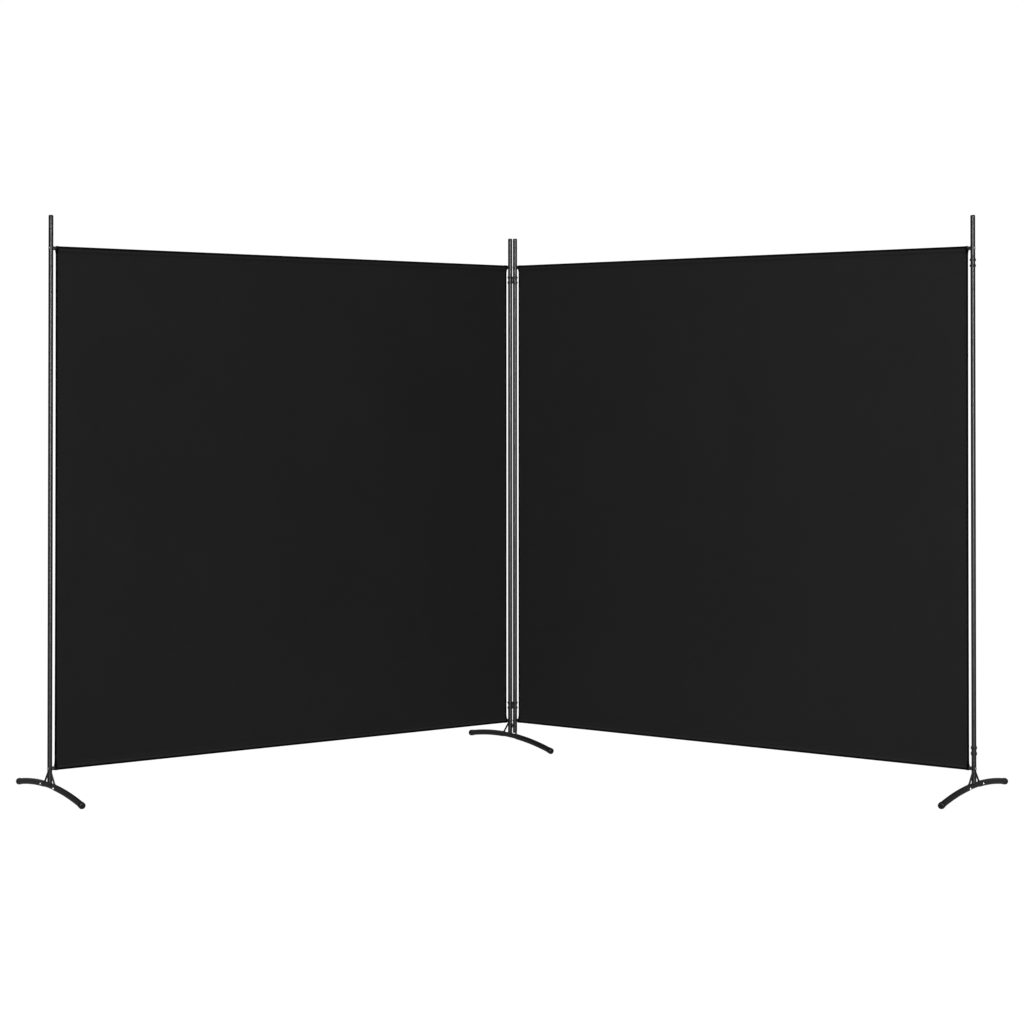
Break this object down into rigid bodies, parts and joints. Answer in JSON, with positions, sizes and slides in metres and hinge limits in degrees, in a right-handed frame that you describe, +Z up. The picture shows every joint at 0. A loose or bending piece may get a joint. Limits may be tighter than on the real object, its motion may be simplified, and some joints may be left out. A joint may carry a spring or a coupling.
{
  "type": "folding room divider screen",
  "caption": "Folding room divider: fabric panels stretched on slim tube frames, joined by swivel clips at the middle posts, standing on arched feet.",
  "frame": {"origin": "on the floor, under the middle of the overall box", "axes": "+X to the right of someone who faces the opened screen, +Y away from them, +Z up"},
  "size_m": [3.1622, 1.413, 1.8],
  "materials": {
    "powder_coated_steel": "satin black powder coat",
    "cap_plastic": "black moulded plastic, lightly textured",
    "clip_plastic": "black moulded plastic, satin",
    "zinc_plated_bolts": "bright zinc plate",
    "panel_cloth": "plain-woven black polyester cloth, matt"
  },
  "bodies": {
    "hinge_clips": {"upper_hinge_clip": "clip_plastic", "lower_hinge_clip": "clip_plastic"},
    "left_panel": {"left_bottom_rail": "powder_coated_steel", "left_bottom_rail_inner_bolt": "zinc_plated_bolts", "left_bottom_rail_outer_bolt": "zinc_plated_bolts", "left_fabric": "panel_cloth", "left_inner_foot_front_bolt": "zinc_plated_bolts", "left_inner_foot_front_cap": "cap_plastic", "left_inner_foot_front_leg": "powder_coated_steel", "left_inner_foot_hub": "powder_coated_steel", "left_inner_foot_rear_bolt": "zinc_plated_bolts", "left_inner_foot_rear_cap": "cap_plastic", "left_inner_foot_rear_leg": "powder_coated_steel", "left_inner_post_cap": "cap_plastic", "left_inner_post_top_section": "powder_coated_steel", "left_inner_post_tube": "powder_coated_steel", "left_outer_foot_front_bolt": "zinc_plated_bolts", "left_outer_foot_front_cap": "cap_plastic", "left_outer_foot_front_leg": "powder_coated_steel", "left_outer_foot_hub": "powder_coated_steel", "left_outer_foot_rear_bolt": "zinc_plated_bolts", "left_outer_foot_rear_cap": "cap_plastic", "left_outer_foot_rear_leg": "powder_coated_steel", "left_outer_post_cap": "cap_plastic", "left_outer_post_top_section": "powder_coated_steel", "left_outer_post_tube": "powder_coated_steel", "left_top_rail": "powder_coated_steel", "left_top_rail_inner_bolt": "zinc_plated_bolts", "left_top_rail_outer_bolt": "zinc_plated_bolts"},
    "right_panel": {"right_bottom_rail": "powder_coated_steel", "right_bottom_rail_inner_bolt": "zinc_plated_bolts", "right_bottom_rail_outer_bolt": "zinc_plated_bolts", "right_fabric": "panel_cloth", "right_inner_post_bottom_section": "powder_coated_steel", "right_inner_post_cap": "cap_plastic", "right_inner_post_end_plug": "cap_plastic", "right_inner_post_top_section": "powder_coated_steel", "right_inner_post_tube": "powder_coated_steel", "right_outer_foot_front_bolt": "zinc_plated_bolts", "right_outer_foot_front_cap": "cap_plastic", "right_outer_foot_front_leg": "powder_coated_steel", "right_outer_foot_hub": "powder_coated_steel", "right_outer_foot_rear_bolt": "zinc_plated_bolts", "right_outer_foot_rear_cap": "cap_plastic", "right_outer_foot_rear_leg": "powder_coated_steel", "right_outer_post_cap": "cap_plastic", "right_outer_post_top_section": "powder_coated_steel", "right_outer_post_tube": "powder_coated_steel", "right_top_rail": "powder_coated_steel", "right_top_rail_inner_bolt": "zinc_plated_bolts", "right_top_rail_outer_bolt": "zinc_plated_bolts"},
    "upper_spare_clip_body": {"upper_spare_clip": "clip_plastic"},
    "lower_spare_clip_body": {"lower_spare_clip": "clip_plastic"}
  },
  "joints": [
    {"name": "left_post_swivel", "type": "hinge", "parent": "hinge_clips", "child": "left_panel", "pos_m": [-0.0087, 0.49367, 0.9], "axis": [0, 0, 1], "range_deg": [-85, 16]},
    {"name": "right_post_swivel", "type": "hinge", "parent": "hinge_clips", "child": "right_panel", "pos_m": [0.0087, 0.49367, 0.9], "axis": [0, 0, 1], "range_deg": [-70, 139]},
    {"name": "upper_spare_clip_swivel", "type": "hinge", "parent": "right_panel", "child": "upper_spare_clip_body", "pos_m": [1.42929, -0.49367, 1.6515], "axis": [0, 0, 1], "range_deg": [-250, 25]},
    {"name": "lower_spare_clip_swivel", "type": "hinge", "parent": "right_panel", "child": "lower_spare_clip_body", "pos_m": [1.42929, -0.49367, 0.1395], "axis": [0, 0, 1], "range_deg": [-250, 25]}
  ]
}
